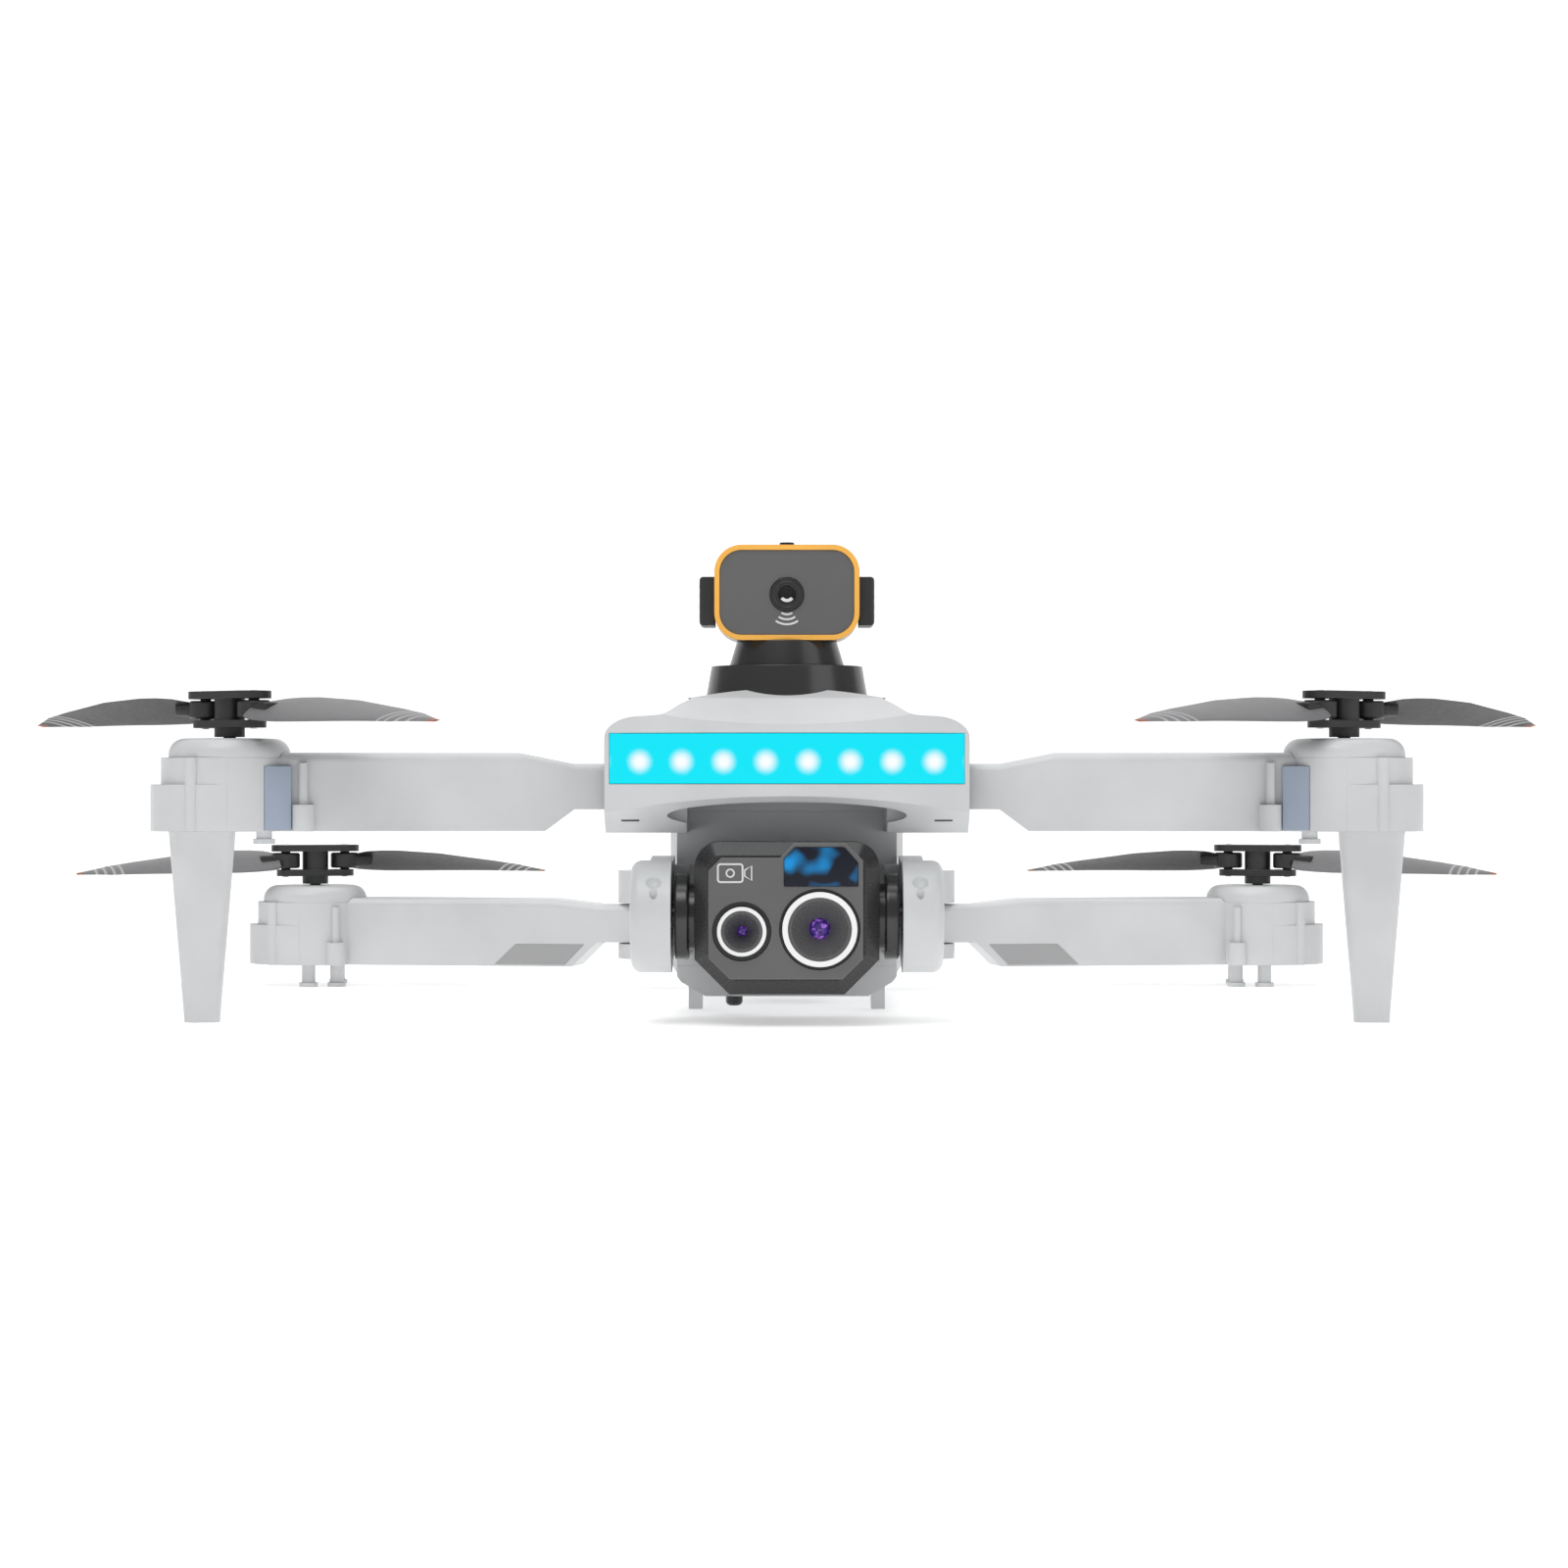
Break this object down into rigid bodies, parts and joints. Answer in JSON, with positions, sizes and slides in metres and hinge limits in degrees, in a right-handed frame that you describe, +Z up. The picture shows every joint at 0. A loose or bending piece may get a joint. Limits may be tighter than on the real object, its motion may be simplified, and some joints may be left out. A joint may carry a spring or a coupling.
{
  "type": "quadcopter drone",
  "caption": "Folding camera drone with arms, hinged propellers, tilting camera, turning sensor head and glowing nose light bar.",
  "frame": {"origin": "on the ground under the middle of the whole model's box, arms open", "axes": "+Z up, -Y towards the nose, +X to the right of someone who faces the nose"},
  "size_m": [0.4, 0.2242, 0.116],
  "materials": {
    "body_shell": "satin",
    "arm_shell": "satin",
    "camera_black": "satin",
    "face_grey": "satin",
    "dark_neck": "satin",
    "orange_trim": "satin",
    "ring_white": "gloss",
    "black_gloss": "gloss",
    "black_plastic": "matte",
    "blade_black": "satin",
    "dark_glass": "gloss",
    "lens_glass": "gloss",
    "lamp_tint": "satin",
    "circuit_board": "satin",
    "steel": "satin",
    "cell_wrap": "satin",
    "bar_glow": "gloss",
    "lamp_glow": "gloss"
  },
  "bodies": {
    "root": {"top_shell": "body_shell", "lower_fuselage": "body_shell", "belly_cover": "body_shell", "camera_cheeks": "body_shell", "light_bar_lens": "bar_glow", "light_bar_lamps": "lamp_glow", "light_bar_board": "circuit_board", "main_board": "circuit_board", "shell_screws": "steel", "arm_pivot_pins": "steel", "belly_sensor": "black_gloss", "neck_collar": "dark_neck"},
    "power_button": {"power_button": "black_plastic"},
    "battery": {"battery_case": "black_plastic", "battery_cells": "cell_wrap"},
    "battery_latch": {"battery_latch": "orange_trim"},
    "camera": {"camera_shell": "camera_black", "camera_back": "camera_black", "camera_face": "face_grey", "camera_window": "dark_glass", "lens_rings": "ring_white", "lens_barrels": "face_grey", "lens_glasses": "lens_glass", "camera_axles": "dark_neck", "camera_board": "circuit_board"},
    "head": {"head_neck": "dark_neck", "head_shell": "camera_black", "head_trim": "orange_trim", "head_face": "face_grey", "head_lens": "black_gloss", "head_side_sensors": "black_plastic"},
    "front_arm_right": {"front_arm_right": "arm_shell", "front_motor_cover_right": "arm_shell", "front_motor_right": "steel", "landing_leg_right": "arm_shell", "arm_lamp_right": "lamp_tint"},
    "front_prop_right": {"front_prop_hub_right": "black_plastic"},
    "front_blade_outer_right": {"front_blade_outer_right": "blade_black"},
    "front_blade_inner_right": {"front_blade_inner_right": "blade_black"},
    "rear_arm_right": {"rear_arm_right": "arm_shell", "rear_motor_cover_right": "arm_shell", "rear_motor_right": "steel"},
    "rear_prop_right": {"rear_prop_hub_right": "black_plastic"},
    "rear_blade_outer_right": {"rear_blade_outer_right": "blade_black"},
    "rear_blade_inner_right": {"rear_blade_inner_right": "blade_black"},
    "front_arm_left": {"front_arm_left": "arm_shell", "front_motor_cover_left": "arm_shell", "front_motor_left": "steel", "landing_leg_left": "arm_shell", "arm_lamp_left": "lamp_tint"},
    "front_prop_left": {"front_prop_hub_left": "black_plastic"},
    "front_blade_outer_left": {"front_blade_outer_left": "blade_black"},
    "front_blade_inner_left": {"front_blade_inner_left": "blade_black"},
    "rear_arm_left": {"rear_arm_left": "arm_shell", "rear_motor_cover_left": "arm_shell", "rear_motor_left": "steel"},
    "rear_prop_left": {"rear_prop_hub_left": "black_plastic"},
    "rear_blade_outer_left": {"rear_blade_outer_left": "blade_black"},
    "rear_blade_inner_left": {"rear_blade_inner_left": "blade_black"}
  },
  "joints": [
    {"name": "front_arm_right_fold", "type": "hinge", "parent": "root", "child": "front_arm_right", "pos_m": [0.036, -0.05862, 0.0565], "axis": [0, 0, 1], "range_deg": [0, 84]},
    {"name": "front_prop_spin_right", "type": "hinge", "parent": "front_arm_right", "child": "front_prop_right", "pos_m": [0.134, -0.06892, 0.068], "axis": [0, 0, 1], "continuous": true},
    {"name": "front_blade_outer_right_fold", "type": "hinge", "parent": "front_prop_right", "child": "front_blade_outer_right", "pos_m": [0.14062, -0.06359, 0.075], "axis": [0, 0, -1], "range_deg": [-80, 80]},
    {"name": "front_blade_inner_right_fold", "type": "hinge", "parent": "front_prop_right", "child": "front_blade_inner_right", "pos_m": [0.12738, -0.07425, 0.075], "axis": [0, 0, -1], "range_deg": [-80, 80]},
    {"name": "rear_arm_right_fold", "type": "hinge", "parent": "root", "child": "rear_arm_right", "pos_m": [0.036, 0.07138, 0.01825], "axis": [0, 0, -1], "range_deg": [0, 92]},
    {"name": "rear_prop_spin_right", "type": "hinge", "parent": "rear_arm_right", "child": "rear_prop_right", "pos_m": [0.134, 0.08866, 0.0284], "axis": [0, 0, 1], "continuous": true},
    {"name": "rear_blade_outer_right_fold", "type": "hinge", "parent": "rear_prop_right", "child": "rear_blade_outer_right", "pos_m": [0.14202, 0.08584, 0.0354], "axis": [0, 0, 1], "range_deg": [-80, 80]},
    {"name": "rear_blade_inner_right_fold", "type": "hinge", "parent": "rear_prop_right", "child": "rear_blade_inner_right", "pos_m": [0.12598, 0.09148, 0.0354], "axis": [0, 0, 1], "range_deg": [-80, 80]},
    {"name": "front_arm_left_fold", "type": "hinge", "parent": "root", "child": "front_arm_left", "pos_m": [-0.036, -0.05862, 0.0565], "axis": [0, 0, -1], "range_deg": [0, 84]},
    {"name": "front_prop_spin_left", "type": "hinge", "parent": "front_arm_left", "child": "front_prop_left", "pos_m": [-0.134, -0.06892, 0.068], "axis": [0, 0, 1], "continuous": true},
    {"name": "front_blade_outer_left_fold", "type": "hinge", "parent": "front_prop_left", "child": "front_blade_outer_left", "pos_m": [-0.14062, -0.06359, 0.075], "axis": [0, 0, 1], "range_deg": [-80, 80]},
    {"name": "front_blade_inner_left_fold", "type": "hinge", "parent": "front_prop_left", "child": "front_blade_inner_left", "pos_m": [-0.12738, -0.07425, 0.075], "axis": [0, 0, 1], "range_deg": [-80, 80]},
    {"name": "rear_arm_left_fold", "type": "hinge", "parent": "root", "child": "rear_arm_left", "pos_m": [-0.036, 0.07138, 0.01825], "axis": [0, 0, 1], "range_deg": [0, 92]},
    {"name": "rear_prop_spin_left", "type": "hinge", "parent": "rear_arm_left", "child": "rear_prop_left", "pos_m": [-0.134, 0.08866, 0.0284], "axis": [0, 0, 1], "continuous": true},
    {"name": "rear_blade_outer_left_fold", "type": "hinge", "parent": "rear_prop_left", "child": "rear_blade_outer_left", "pos_m": [-0.14202, 0.08584, 0.0354], "axis": [0, 0, -1], "range_deg": [-80, 80]},
    {"name": "rear_blade_inner_left_fold", "type": "hinge", "parent": "rear_prop_left", "child": "rear_blade_inner_left", "pos_m": [-0.12598, 0.09148, 0.0354], "axis": [0, 0, -1], "range_deg": [-80, 80]},
    {"name": "camera_tilt", "type": "hinge", "parent": "root", "child": "camera", "pos_m": [0, -0.07562, 0.0255], "axis": [1, 0, 0], "range_deg": [0, 90]},
    {"name": "head_turn", "type": "hinge", "parent": "root", "child": "head", "pos_m": [0, -0.05562, 0.0857], "axis": [0, 0, 1], "range_deg": [-170, 170]},
    {"name": "power_button_press", "type": "slide", "parent": "root", "child": "power_button", "axis": [0, 0, -1], "range_m": [0, 0.0008], "stiffness_N_per_m": 800},
    {"name": "battery_slide", "type": "slide", "parent": "root", "child": "battery", "axis": [0, 1, 0], "range_m": [0, 0.082]},
    {"name": "battery_latch_press", "type": "slide", "parent": "battery", "child": "battery_latch", "axis": [0, 0, -1], "range_m": [0, 0.0015], "stiffness_N_per_m": 500}
  ],
  "couplings": [
    {"joint": "front_blade_outer_right_fold", "follows": "front_arm_right_fold", "ratio": 0.53333},
    {"joint": "front_blade_inner_right_fold", "follows": "front_arm_right_fold", "ratio": 0.53333},
    {"joint": "rear_blade_outer_right_fold", "follows": "rear_arm_right_fold", "ratio": 0.31956},
    {"joint": "rear_blade_inner_right_fold", "follows": "rear_arm_right_fold", "ratio": 0.31956},
    {"joint": "front_blade_outer_left_fold", "follows": "front_arm_left_fold", "ratio": 0.53333},
    {"joint": "front_blade_inner_left_fold", "follows": "front_arm_left_fold", "ratio": 0.53333},
    {"joint": "rear_blade_outer_left_fold", "follows": "rear_arm_left_fold", "ratio": 0.31956},
    {"joint": "rear_blade_inner_left_fold", "follows": "rear_arm_left_fold", "ratio": 0.31956}
  ]
}
